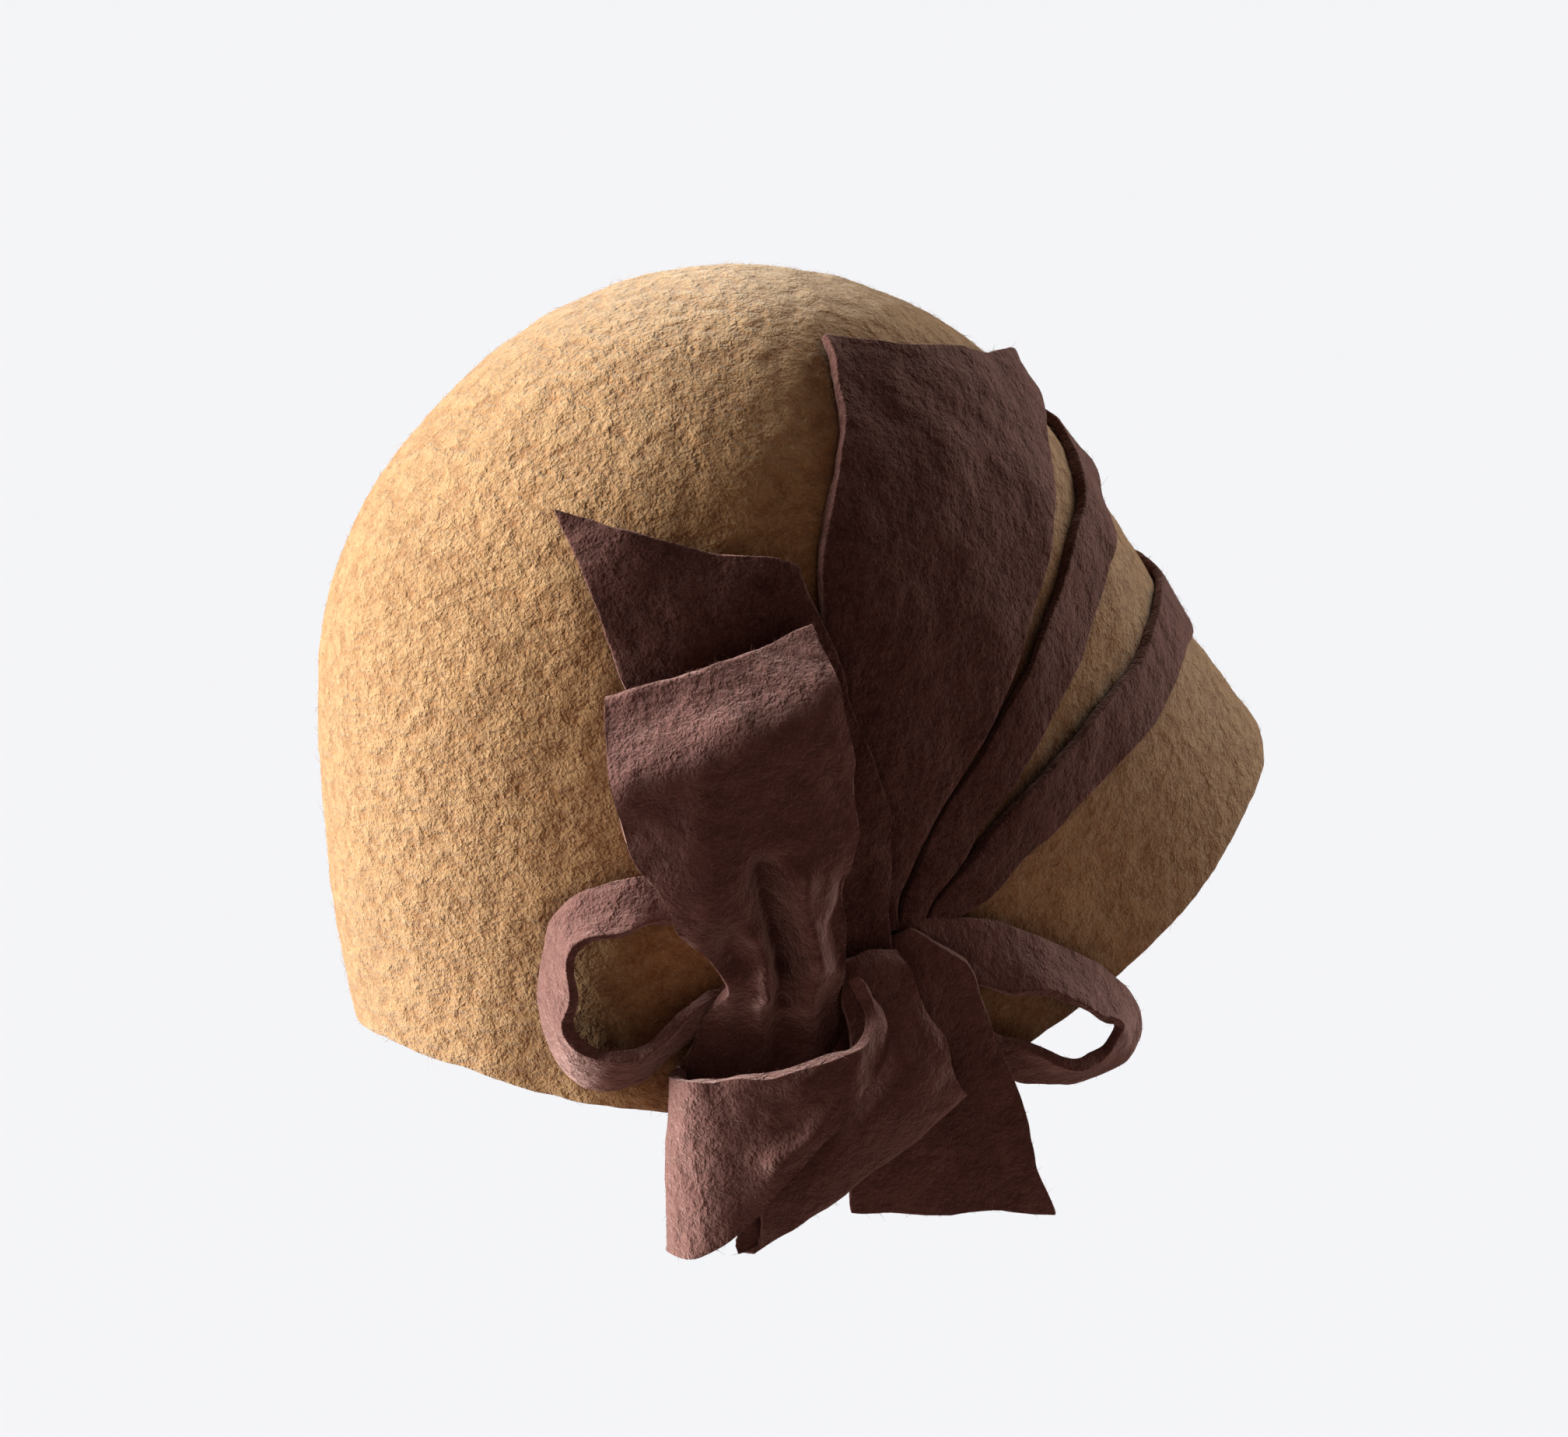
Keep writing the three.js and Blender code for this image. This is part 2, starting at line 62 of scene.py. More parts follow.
class HatFelt(bpy.types.PropertyGroup):
    """Sizes of the felt's surface"""

    cut_edge_rounding: bpy.props.FloatProperty(
        name="Cut edge rounding",
        description="How far the scissors' edge of a strip is rounded",
        default=0.0006,
        min=0.0002,
        max=0.0014,
        unit="LENGTH",
        subtype="DISTANCE",
    )
    cut_edge_wave_size: bpy.props.FloatProperty(
        name="Cut edge wave size",
        description="Length over which the cut edges wander",
        default=0.0095,
        min=0.001,
        unit="LENGTH",
        subtype="DISTANCE",
    )
    cut_edge_wave_depth: bpy.props.FloatProperty(
        name="Cut edge wave depth",
        description="How far the cut edges wander",
        default=0.0023,
        min=0,
        unit="LENGTH",
        subtype="DISTANCE",
    )
    crown_dent_size: bpy.props.FloatProperty(
        name="Crown dent size",
        description="Distance from one dent of the crown's felt to the next",
        default=0.0065,
        unit="LENGTH",
        subtype="DISTANCE",
    )
    crown_dent_depth: bpy.props.FloatProperty(
        name="Crown dent depth",
        description="Depth of the dents that felting leaves in the crown",
        default=0.001,
        unit="LENGTH",
        subtype="DISTANCE",
    )
    ribbon_wave_size: bpy.props.FloatProperty(
        name="Ribbon wave size",
        description="Length of the slow waves in the ribbons",
        default=0.03,
        unit="LENGTH",
        subtype="DISTANCE",
    )
    ribbon_wave_depth: bpy.props.FloatProperty(
        name="Ribbon wave depth",
        description="How far the slow waves move the ribbons",
        default=0.005,
        unit="LENGTH",
        subtype="DISTANCE",
    )
    ribbon_dent_size: bpy.props.FloatProperty(
        name="Ribbon dent size",
        description="Distance from one dent of the ribbons' felt to the next",
        default=0.006,
        unit="LENGTH",
        subtype="DISTANCE",
    )
    ribbon_dent_depth: bpy.props.FloatProperty(
        name="Ribbon dent depth",
        description="Depth of the dents in the ribbons",
        default=0.0008,
        unit="LENGTH",
        subtype="DISTANCE",
    )
    crown_nap_length: bpy.props.FloatProperty(
        name="Crown nap length",
        description="Length of the longest fibres that stand off the crown",
        default=0.0042,
        unit="LENGTH",
        subtype="DISTANCE",
    )
    bow_nap_length: bpy.props.FloatProperty(
        name="Bow nap length",
        description="Length of the longest fibres that stand off the bow",
        default=0.0034,
        unit="LENGTH",
        subtype="DISTANCE",
    )
    fibre_thickness: bpy.props.FloatProperty(
        name="Fibre thickness",
        description="Half the thickness of a fibre at its root",
        default=0.00006,
        unit="LENGTH",
        subtype="DISTANCE",
    )
    crown_fibres: bpy.props.IntProperty(
        name="Crown fibres",
        description="How many fibres stand off the crown",
        default=17000,
        min=1,
    )
    bow_fibres: bpy.props.IntProperty(
        name="Bow fibres",
        description="How many fibres stand off the bow",
        default=19900,
        min=1,
    )


class HatColours(bpy.types.PropertyGroup):
    """Colours of the wool and of the stage"""

    camel: bpy.props.FloatVectorProperty(
        name="Camel",
        description="Wool of the crown",
        default=(0.49, 0.262, 0.11),
        size=3,
        min=0,
        max=1,
        subtype="COLOR",
    )
    camel_dark: bpy.props.FloatVectorProperty(
        name="Camel in the dents",
        description="Wool at the bottom of the crown's dents",
        default=(0.33, 0.14, 0.047),
        size=3,
        min=0,
        max=1,
        subtype="COLOR",
    )
    camel_light: bpy.props.FloatVectorProperty(
        name="Camel fibre ends",
        description="Pale ends of the crown's fibres",
        default=(0.80, 0.54, 0.29),
        size=3,
        min=0,
        max=1,
        subtype="COLOR",
    )
    plum: bpy.props.FloatVectorProperty(
        name="Plum brown",
        description="Wool of the bow",
        default=(0.096, 0.037, 0.030),
        size=3,
        min=0,
        max=1,
        subtype="COLOR",
    )
    plum_dark: bpy.props.FloatVectorProperty(
        name="Plum brown in the dents",
        description="Wool at the bottom of the bow's dents",
        default=(0.056, 0.020, 0.016),
        size=3,
        min=0,
        max=1,
        subtype="COLOR",
    )
    plum_light: bpy.props.FloatVectorProperty(
        name="Plum fibre ends",
        description="Dusty pink ends of the bow's fibres",
        default=(0.31, 0.14, 0.118),
        size=3,
        min=0,
        max=1,
        subtype="COLOR",
    )
    floor: bpy.props.FloatVectorProperty(
        name="Floor",
        description="Pale floor of the stage",
        default=(0.67, 0.65, 0.67),
        size=3,
        min=0,
        max=1,
        subtype="COLOR",
    )


class HatStage(bpy.types.PropertyGroup):
    """Camera, floor and lights"""

    camera_turn: bpy.props.FloatProperty(
        name="Camera turn",
        description="How far the camera stands behind the wearer's right side",
        default=math.radians(30),
        subtype="ANGLE",
    )
    camera_rise: bpy.props.FloatProperty(
        name="Camera rise",
        description="How far the camera looks down",
        default=math.radians(12),
        subtype="ANGLE",
    )
    camera_distance: bpy.props.FloatProperty(
        name="Camera distance",
        description="From the camera to the middle of the hat",
        default=1.2,
        unit="LENGTH",
        subtype="DISTANCE",
    )
    frame_width: bpy.props.FloatProperty(
        name="Frame width",
        description="Width that the camera takes in at the middle of the hat",
        default=0.4209,
        unit="LENGTH",
        subtype="DISTANCE",
    )
    floor_drop: bpy.props.FloatProperty(
        name="Floor drop",
        description="From the rim over the ears down to the floor",
        default=0.32,
        unit="LENGTH",
        subtype="DISTANCE",
    )
    window_strength: bpy.props.FloatProperty(
        name="Window strength",
        description="Daylight from the large window to the left",
        default=10.4,
        min=0,
    )
    skylight_strength: bpy.props.FloatProperty(
        name="Skylight strength",
        description="Daylight from above and behind",
        default=2.6,
        min=0,
    )
    window_softness: bpy.props.FloatProperty(
        name="Window softness",
        description="How wide the window looks from the hat",
        default=math.radians(32),
        subtype="ANGLE",
    )
    room_light: bpy.props.FloatProperty(
        name="Room light",
        description="Brightness of the room away from the window",
        default=0.07,
        min=0,
    )
    floor_light: bpy.props.FloatProperty(
        name="Floor light",
        description="Brightness of the light that the pale floor throws back up",
        default=0.38,
        min=0,
    )


# Ribbon ends that are drawn in under the knot, and the upper tail's tip: how far the end moves, and how far
# round it the cloth follows
DRAWN_IN = {
    "upper_tail": (
        {"place": (-0.0885, 0.0005, 0.046), "reach": 0.016, "shift": (0, 0, -0.0035)},
        {"place": (-0.0615, 0.066, 0.155), "reach": 0.024, "shift": (0.001, 0.0017, 0.0042)},
    ),
    "upper_band": ({"place": (-0.0885, -0.015, 0.053), "reach": 0.016, "shift": (0, 0.0035, -0.0065)},),
    "lower_band": ({"place": (-0.088, -0.0235, 0.0515), "reach": 0.014, "shift": (0, 0.003, -0.003)},),
    "lower_tail": ({"place": (-0.0885, -0.0125, 0.0435), "reach": 0.014, "shift": (0, 0, 0.003)},),
    "back_thin_loop": (
        {"place": (-0.0785, 0.0405, 0.0355), "reach": 0.016, "shift": (-0.0042, -0.0072, 0.004)},
    ),
    "upper_loop": ({"place": (-0.101, 0.0115, 0.048), "reach": 0.013, "shift": (-0.0012, -0.003, -0.001)},),
}

# Faces that meet at more than this have a cut edge between them
CUT_ANGLE = math.radians(50)

# Places far apart in one noise, so that a cut edge wanders on its own along each axis
WANDERS = (Vector((0, 0, 0)), Vector((31, 7, 3)), Vector((5, 43, 17)))

# The two wide loops meet at the knot. The ribbon is evened out this far round their joint, and up and down
LOOP_JOINT = Vector((-0.099, 0.026, 0.046))
JOINT_REACH = 0.022
JOINT_HEIGHT = 0.007
JOINT_TURNS = 30

# The crest of the roll along the upper loop's top, which has more fibres within its width
LOOP_ROLL = (
    (-0.09, 0.0692, 0.114),
    (-0.096, 0.0533, 0.1195),
    (-0.1007, 0.0385, 0.1245),
    (-0.1035, 0.0206, 0.1305),
)
ROLL_WIDTH = 0.0075
ROLL_FIBRES = 9

# Fibres at a cut edge for each one on the same area of the felt's skins
CROWN_EDGE_FIBRES = 3
BOW_EDGE_FIBRES = 9

# How deep a fibre's root lies in the felt
ROOT_DEPTH = 0.0003

# Folds and gathers of the wide ribbon. Each is pressed in along a path in metres, towards KNOT_INWARDS, or
# stands out where its depth is below nought.
KNOT_INWARDS = Vector((0.95, -0.3, -0.05))
BOW_FOLDS = (
    {
        "path": ((-0.0988, 0.0321, 0.0481), (-0.0994, 0.0268, 0.0481), (-0.1028, 0.0221, 0.0483),
                 (-0.1027, 0.0153, 0.0483)),
        "width": 0.0036,
        "depth": -0.0016,
    },
    {
        "path": ((-0.1106, 0.0104, 0.0293), (-0.1114, 0.0136, 0.0202), (-0.1085, 0.0246, 0.0042),
                 (-0.1044, 0.0319, -0.0016)),
        "width": 0.0036,
        "depth": -0.0018,
    },
    {
        "path": ((-0.1064, 0.0364, 0.0749), (-0.1042, 0.0336, 0.0666), (-0.102, 0.0305, 0.0587),
                 (-0.0994, 0.0273, 0.0488)),
        "width": 0.004,
        "depth": 0.0072,
    },
    {"path": LOOP_ROLL, "width": 0.0085, "depth": 0.005},
    {
        "path": ((-0.094, 0.0662, 0.098), (-0.0985, 0.0546, 0.102), (-0.1045, 0.0366, 0.1085),
                 (-0.107, 0.0206, 0.1135)),
        "width": 0.0095,
        "depth": -0.0034,
    },
    {
        "path": ((-0.0994, 0.0273, 0.0488), (-0.0945, 0.0237, 0.0378)),
        "width": 0.0028,
        "depth": 0.003,
    },
    {
        "path": ((-0.1088, 0.0274, 0.0727), (-0.1055, 0.0255, 0.062), (-0.1036, 0.0217, 0.05),
                 (-0.0985, 0.0192, 0.043), (-0.0945, 0.0188, 0.0365)),
        "width": 0.0034,
        "depth": -0.0042,
    },
    {
        "path": ((-0.1088, 0.0145, 0.0701), (-0.1076, 0.0162, 0.0594), (-0.1045, 0.0135, 0.048)),
        "width": 0.003,
        "depth": 0.005,
    },
    {
        "path": ((-0.1006, 0.0376, 0.056), (-0.0987, 0.0325, 0.0489), (-0.0965, 0.031, 0.043),
                 (-0.0935, 0.03, 0.0385)),
        "width": 0.003,
        "depth": -0.0038,
    },
    {
        "path": ((-0.1014, 0.0425, 0.0535), (-0.1, 0.0405, 0.0505)),
        "width": 0.005,
        "depth": 0.005,
    },
    {
        "path": ((-0.0935, 0.03, 0.0385), (-0.0874, 0.027, 0.03), (-0.086, 0.0268, 0.022)),
        "width": 0.0026,
        "depth": -0.003,
    },
    {
        "path": ((-0.0945, 0.0168, 0.0365), (-0.0918, 0.0148, 0.03), (-0.0905, 0.0135, 0.023)),
        "width": 0.0026,
        "depth": -0.003,
    },
)

# The same for the side loop
SIDE_FOLDS = (
    {
        "path": ((-0.1031, 0.0039, 0.0268), (-0.1047, 0.0066, 0.0178), (-0.1028, 0.0187, 0.0021),
                 (-0.0931, 0.0243, -0.0065)),
        "width": 0.0045,
        "depth": 0.0045,
    },
)

# A point in the hollow, and the point that the camera looks at, this far to the right of the hat's middle
HOLLOW_MIDDLE = Vector((0, -0.01, 0.09))
HAT_MIDDLE = Vector((0, 0, 0.09))
FRAME_SHIFT = 0.0261
SENSOR_WIDTH = 36

# Colours of the light: from the windows, from the room, and what the camera sees beyond the floor
DAYLIGHT = (0.95, 1.0, 1.0)
ROOM_GLOW = (1.0, 0.74, 0.66, 1)
BACKDROP = (0.93, 0.94, 0.97, 1)


def settings():
    return bpy.context.scene


def link(tree, start, end):
    tree.links.new(start, end)


def felt_noise(tree, place, scale, detail, squash=(1, 1, 1), shift=(0, 0, 0), curl=0):
    """A noise over the piece's own coordinates, scale per metre"""
    mapping = tree.nodes.new("ShaderNodeMapping")
    mapping.inputs["Scale"].default_value = squash
    mapping.inputs["Location"].default_value = shift
    link(tree, place, mapping.inputs["Vector"])
    texture = tree.nodes.new("ShaderNodeTexNoise")
    texture.inputs["Scale"].default_value = scale
    texture.inputs["Detail"].default_value = detail
    texture.inputs["Roughness"].default_value = 0.6
    texture.inputs["Distortion"].default_value = curl
    link(tree, mapping.outputs["Vector"], texture.inputs["Vector"])
    return texture.outputs["Fac"]


def felt_range(tree, value, low, high):
    """Stretches part of a noise to the whole of 0 to 1"""
    spread = tree.nodes.new("ShaderNodeMapRange")
    spread.inputs["From Min"].default_value = low
    spread.inputs["From Max"].default_value = high
    link(tree, value, spread.inputs["Value"])
    return spread.outputs["Result"]


def felt_math(tree, operation, value, number):
    part = tree.nodes.new("ShaderNodeMath")
    part.operation = operation
    part.inputs[1].default_value = number
    link(tree, value, part.inputs[0])
    return part.outputs[0]


def felt_wisps(tree, place, scale, shift):
    """Thin curling lines that run every way, as single fibres lie in felt"""
    level = felt_math(tree, "SUBTRACT", felt_noise(tree, place, scale, 1, (1, 1, 1), shift, 1.6), 0.5)
    return felt_range(tree, felt_math(tree, "ABSOLUTE", level, 0), 0.045, 0.0)


def felt_mix(tree, share, under, over, blend="MIX"):
    mix = tree.nodes.new("ShaderNodeMix")
    mix.data_type = "RGBA"
    mix.blend_type = blend
    if isinstance(share, bpy.types.NodeSocket):
        link(tree, share, mix.inputs["Factor"])
    else:
        mix.inputs["Factor"].default_value = share
    for socket, colour in ((mix.inputs[6], under), (mix.inputs[7], over)):
        if isinstance(colour, bpy.types.NodeSocket):
            link(tree, colour, socket)
        else:
            socket.default_value = (*colour, 1)
    return mix.outputs[2]


def felt_bump(tree, height, distance, strength, under=None):
    bump = tree.nodes.new("ShaderNodeBump")
    bump.inputs["Distance"].default_value = distance
    bump.inputs["Strength"].default_value = strength
    link(tree, height, bump.inputs["Height"])
    if under is not None:
        link(tree, under, bump.inputs["Normal"])
    return bump.outputs["Normal"]


def felt_material(name, wool, dark, light, dent_scale, squash, pebble, sheen, tint):
    """Wool felt: slow patches, dents, fine fibres that lie every way, and painted shade in the folds.
    dent_scale is dents per metre, squash stretches them, and pebble is their depth in metres."""
    material = bpy.data.materials.get(name)
    if material:
        return material
    material = bpy.data.materials.new(name)
    material.use_nodes = True
    tree = material.node_tree
    shader = tree.nodes["Principled BSDF"]
    place = tree.nodes.new("ShaderNodeTexCoord").outputs["Object"]
    patches = felt_range(tree, felt_noise(tree, place, 26, 3), 0.35, 0.65)
    dents = felt_range(tree, felt_noise(tree, place, dent_scale, 3, squash), 0.34, 0.6)
    grain = felt_range(tree, felt_noise(tree, place, 1300, 3), 0.36, 0.64)
    tufts = felt_range(tree, felt_noise(tree, place, 520, 2, (1, 1, 1), (0.3, 0.1, 0.2), 0.8), 0.4, 0.68)
    wisps = felt_wisps(tree, place, 330, (0.1, 0.4, 0.3))
    more_wisps = felt_wisps(tree, place, 520, (0.5, 0.2, 0.7))
    colour = felt_mix(tree, dents, dark, wool)
    patchy = felt_mix(tree, patches, (0.62, 0.6, 0.58), (1, 1, 1))
    colour = felt_mix(tree, 0.3, colour, patchy, "MULTIPLY")
    colour = felt_mix(tree, felt_math(tree, "MULTIPLY", tufts, 0.22), colour, light)
    colour = felt_mix(tree, felt_math(tree, "MULTIPLY", wisps, 0.3), colour, light)
    colour = felt_mix(tree, felt_math(tree, "MULTIPLY", more_wisps, 0.22), colour, light)
    colour = felt_mix(tree, felt_math(tree, "MULTIPLY", grain, 0.3), colour, dark)
    # Painted shade: where ambient occlusion finds felt close by, in folds, creases and between pieces, the
    # colour is darkened towards (0.3, 0.24, 0.22) of itself
    folds = tree.nodes.new("ShaderNodeAmbientOcclusion")
    folds.samples = 6
    folds.inputs["Distance"].default_value = 0.012
    open_felt = felt_range(tree, folds.outputs["AO"], 0.2, 0.9)
    painted_fold_shade = felt_mix(tree, 1.0, colour, (0.3, 0.24, 0.22), "MULTIPLY")
    colour = felt_mix(tree, open_felt, painted_fold_shade, colour)
    link(tree, colour, shader.inputs["Base Color"])
    relief = felt_bump(tree, dents, pebble, 0.7)
    relief = felt_bump(tree, tufts, 0.0003, 0.6, relief)
    relief = felt_bump(tree, wisps, 0.00022, 0.5, relief)
    relief = felt_bump(tree, grain, 0.0002, 0.6, relief)
    link(tree, relief, shader.inputs["Normal"])
    shader.inputs["Roughness"].default_value = 1.0
    shader.inputs["Specular IOR Level"].default_value = 0.08
    shader.inputs["Sheen Weight"].default_value = sheen
    shader.inputs["Sheen Roughness"].default_value = 0.5
    shader.inputs["Sheen Tint"].default_value = (*tint, 1)
    return material


def camel_felt():
    colours = settings().hat_colours
    return felt_material(
        "camel_felt",
        colours.camel,
        colours.camel_dark,
        colours.camel_light,
        dent_scale=190,
        squash=(1, 1, 1.4),
        pebble=0.0009,
        sheen=0.42,
        tint=(1.0, 0.92, 0.76),
    )


def paler(wool, share):
    """A share of the way from one of the bow's colours to that of its fibre ends"""
    return [(1 - share) * here + share * pale for here, pale in zip(wool, settings().hat_colours.plum_light)]


def plum_felt(painted_lit):
    """The strips' felt in two copies for the light: the strips close on the crown keep the plum, and those
    that stand off it are painted paler as painted light, with more sheen
    """
    colours = settings().hat_colours
    return felt_material(
        "raised_plum_felt" if painted_lit else "plum_felt",
        # Painted light: on pieces that stand off the crown, the wool is painted 36% and its dents 28% of the
        # way to the pale fibre ends
        paler(colours.plum, 0.36 if painted_lit else 0),
        paler(colours.plum_dark, 0.28 if painted_lit else 0),
        colours.plum_light,
        dent_scale=170,
        squash=(1, 1, 1),
        pebble=0.0009,
        sheen=0.8 if painted_lit else 0.5,
        tint=(0.95, 0.6, 0.52) if painted_lit else (0.95, 0.56, 0.46),
    )


def plum_cut_edge():
    """The cut edges of the strips, where the fibres stand out and catch the light"""
    colours = settings().hat_colours
    return felt_material(
        "plum_cut_edge",
        paler(colours.plum, 0.3),
        colours.plum,
        colours.plum_light,
        dent_scale=420,
        squash=(1, 1, 1),
        pebble=0.0014,
        sheen=0.9,
        tint=(1.0, 0.68, 0.62),
    )


def fibre_material(name, dark, light):
    """Loose fibres, each a little darker or paler than the next"""
    material = bpy.data.materials.new(name)
    material.use_nodes = True
    tree = material.node_tree
    shader = tree.nodes["Principled BSDF"]
    place = tree.nodes.new("ShaderNodeTexCoord").outputs["Object"]
    shade = felt_range(tree, felt_noise(tree, place, 240, 1), 0.35, 0.65)
    link(tree, felt_mix(tree, shade, dark, light), shader.inputs["Base Color"])
    shader.inputs["Roughness"].default_value = 0.8
    shader.inputs["Specular IOR Level"].default_value = 0.1
    return material


def cloud(name, size, coloured=False):
    """The slow irregularity of hand-made felt, the same for every piece in one place"""
    texture = bpy.data.textures.get(name) or bpy.data.textures.new(name, "CLOUDS")
    texture.noise_scale = size
    texture.noise_depth = 1
    texture.noise_basis = "IMPROVED_PERLIN"
    texture.cloud_type = "COLOR" if coloured else "GRAYSCALE"
    return texture


def wave(piece, name, texture, depth, whole=False):
    displace = piece.modifiers.new(name, "DISPLACE")
    displace.texture = texture
    displace.texture_coords = "LOCAL"
    displace.direction = "RGB_TO_XYZ" if whole else "NORMAL"
    displace.strength = depth
    displace.mid_level = 0.5


def felt_groups(work):
    """The faces between sharp edges: the skins of the felt, its cut edges and its ends"""
    placed = set()
    groups = []
    for start in work.faces:
        if start in placed:
            continue
        placed.add(start)
        group = [start]
        for face in group:
            for edge in face.edges:
                if edge.calc_face_angle(0) < CUT_ANGLE:
                    beside = [other for other in edge.link_faces if other not in placed]
                    placed.update(beside)
                    group.extend(beside)
        groups.append(group)
    return groups


def draw_in(work, node):
    """Moves a ribbon's ends, and the cloth round them less and less"""
    for pull in DRAWN_IN.get(node, ()):
        for vert in work.verts:
            away = (vert.co - Vector(pull["place"])).length / pull["reach"]
            if away < 1:
                vert.co += Vector(pull["shift"]) * (1 - away ** 2)


def group_area(group):
    return sum(face.calc_area() for face in group)


def join_ends(work, place):
    """Opens the two cut ends that meet at a place, and joins them into one ribbon"""
    def distance(group):
        middle = sum((face.calc_center_median() for face in group), Vector()) / len(group)
        return (middle - place).length

    ends = sorted(felt_groups(work), key=distance)[:2]
    bmesh.ops.delete(work, geom=ends[0] + ends[1], context="FACES")
    bmesh.ops.bridge_loops(work, edges=[edge for edge in work.edges if edge.is_boundary])


def felt_copy(nodes, name, rounding, segments, joint=None):
    """A copy of one solid, or of two joined into one ribbon, whose cut edges wander and are rounded"""
    work = bmesh.new()
    for node in nodes:
        work.from_mesh(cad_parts[node].data)
    bmesh.ops.remove_doubles(work, verts=work.verts, dist=1e-5)
    bmesh.ops.join_triangles(
        work,
        faces=work.faces,
        angle_face_threshold=math.radians(40),
        angle_shape_threshold=math.radians(60),
    )
    if joint is not None:
        join_ends(work, joint)
    for node in nodes:
        draw_in(work, node)
    for face in work.faces:
        face.material_index = 0
    tenth = group_area(work.faces) / 10
    cut_faces = [face for group in felt_groups(work) if group_area(group) < tenth for face in group]
    for face in cut_faces:
        face.material_index = 1
    felt = settings().hat_felt
    for vert in {vert for face in cut_faces for vert in face.verts}:
        place = vert.co / felt.cut_edge_wave_size
        vert.co += Vector([noise.noise(place + shift) for shift in WANDERS]) * felt.cut_edge_wave_depth
    cut = [edge for edge in work.edges if edge.calc_face_angle(0) > CUT_ANGLE]
    bmesh.ops.bevel(
        work,
        geom=cut,
        offset=rounding,
        segments=segments,
        profile=0.5,
        affect="EDGES",
        material=-1,
        clamp_overlap=True,
    )
    for face in work.faces:
        face.smooth = True
    mesh = bpy.data.meshes.new(name)
    work.to_mesh(mesh)
    work.free()
    piece = bpy.data.objects.new(name, mesh)
    bpy.context.scene.collection.objects.link(piece)
    return piece


def soften(piece, levels):
    smooth = piece.modifiers.new("soft_felt", "SUBSURF")
    smooth.levels = levels
    smooth.render_levels = levels


def seen_mesh(piece):
    """The piece's mesh with its modifiers, as a new mesh"""
    return bpy.data.meshes.new_from_object(piece.evaluated_get(bpy.context.evaluated_depsgraph_get()))


def distance_to_path(point, path):
    nearest = 1.0
    for start, end in zip(path, path[1:]):
        start, end = Vector(start), Vector(end)
        along = end - start
        share = max(0.0, min(1.0, (point - start).dot(along) / along.length_squared))
        nearest = min(nearest, (point - start - share * along).length)
    return nearest


def gather(piece, levels, gathers, joint):
    """Rounds the ribbon, evens out its joint, then presses its folds in"""
    soften(piece, levels)
    mesh = seen_mesh(piece)
    piece.modifiers.clear()
    work = bmesh.new()
    work.from_mesh(mesh)
    if joint is not None:
        level = [vert for vert in work.verts if abs(vert.co.z - joint.z) < JOINT_HEIGHT]
        near = [vert for vert in level if (vert.co - joint).length < JOINT_REACH]
        every_way = {"use_axis_x": True, "use_axis_y": True, "use_axis_z": True}
        for turn in range(JOINT_TURNS):
            bmesh.ops.smooth_vert(work, verts=near, factor=0.5, **every_way)
    for vert in work.verts:
        place = vert.co.copy()
        for fold in gathers:
            away = distance_to_path(place, fold["path"]) / fold["width"]
            if away < 3:
                vert.co += KNOT_INWARDS * fold["depth"] * math.exp(-(away ** 2))
    work.to_mesh(mesh)
    work.free()
    piece.data = mesh


def dress(piece, nodes, slot, *materials):
    piece.data.materials.clear()
    for material in materials:
        piece.data.materials.append(material)
    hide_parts(*nodes)
    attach(piece, "root")


def ribbon(
    nodes,
    levels=2,
    name=None,
    joint=None,
    gathers=(),
    painted_lit=True,
):
    """One strip of the bow, cut from flat felt"""
    felt = settings().hat_felt
    piece = felt_copy(nodes, (name or nodes[0]) + "_felt", felt.cut_edge_rounding, 2, joint)
    if gathers:
        gather(piece, levels, gathers, joint)
    else:
        soften(piece, levels)
    dress(piece, nodes, "trim_felt", plum_felt(painted_lit), plum_cut_edge())
    slow = cloud("slow_waves", felt.ribbon_wave_size, True)
    wave(piece, "slow_waves", slow, felt.ribbon_wave_depth, True)
    wave(piece, "dents", cloud("ribbon_dents", felt.ribbon_dent_size), felt.ribbon_dent_depth)
    return piece


def one_fibre():
    """A closed three-sided spike, one metre high and with room for one bend"""
    work = bmesh.new()
    bmesh.ops.create_cone(work, cap_ends=True, segments=3, radius1=1, radius2=0, depth=1)
    bmesh.ops.translate(work, verts=work.verts, vec=(0, 0, 0.5))
    everything = work.verts[:] + work.edges[:] + work.faces[:]
    bmesh.ops.bisect_plane(work, geom=everything, plane_co=(0, 0, 0.5), plane_no=(0, 0, 1))
    mesh = bpy.data.meshes.new("one_fibre")
    work.to_mesh(mesh)
    work.free()
    return mesh


def lying(chance, normal):
    """A direction along the surface, any way round"""
    loose = Vector([chance.gauss(0, 1) for axis in range(3)])
    return (loose - normal * loose.dot(normal)).normalized()


def fibre_points(chance, shape, root, normal, length, thickness):
    """The corners of one fibre that rises off the felt and bends back to it"""
    along = (lying(chance, normal) + normal * chance.uniform(0.1, 0.9)).normalized()
    bend = (lying(chance, normal) * 0.5 - normal * chance.uniform(0, 0.45)) * length
    side = along.orthogonal().normalized()
    over = along.cross(side)
    points = []
    for corner in shape:
        high = corner.z
        place = root + (side * corner.x + over * corner.y) * thickness + along * (high * length)
        points.extend(place + bend * (high * high))
    return points


